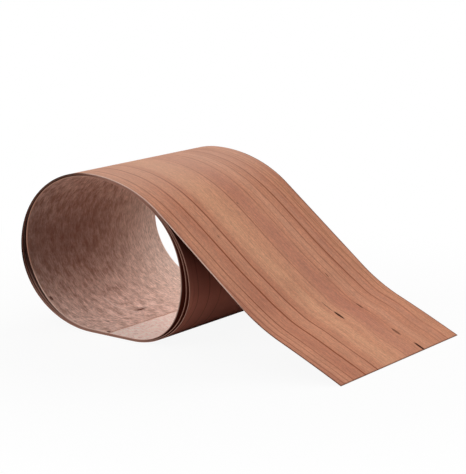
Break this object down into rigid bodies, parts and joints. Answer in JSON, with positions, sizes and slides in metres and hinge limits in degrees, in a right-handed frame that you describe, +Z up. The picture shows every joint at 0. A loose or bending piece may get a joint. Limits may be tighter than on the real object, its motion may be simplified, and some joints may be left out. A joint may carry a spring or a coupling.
{
  "type": "wood veneer sheet",
  "caption": "Thin wood veneer sheet, loosely coiled on its side, with its outer end leaving the top of the coil and sloping down to the floor.",
  "frame": {"origin": "on the floor, at the middle of the sheet's footprint", "axes": "+X from the coil to the edge of the tail, +Y across the sheet along the coil's axis, +Z up"},
  "size_m": [0.3928, 0.21, 0.161],
  "materials": {
    "veneer": "raw, unfinished fine-grained wood, matt to faintly satin"
  },
  "bodies": {
    "root": {"veneer_sheet": "veneer"}
  },
  "joints": []
}
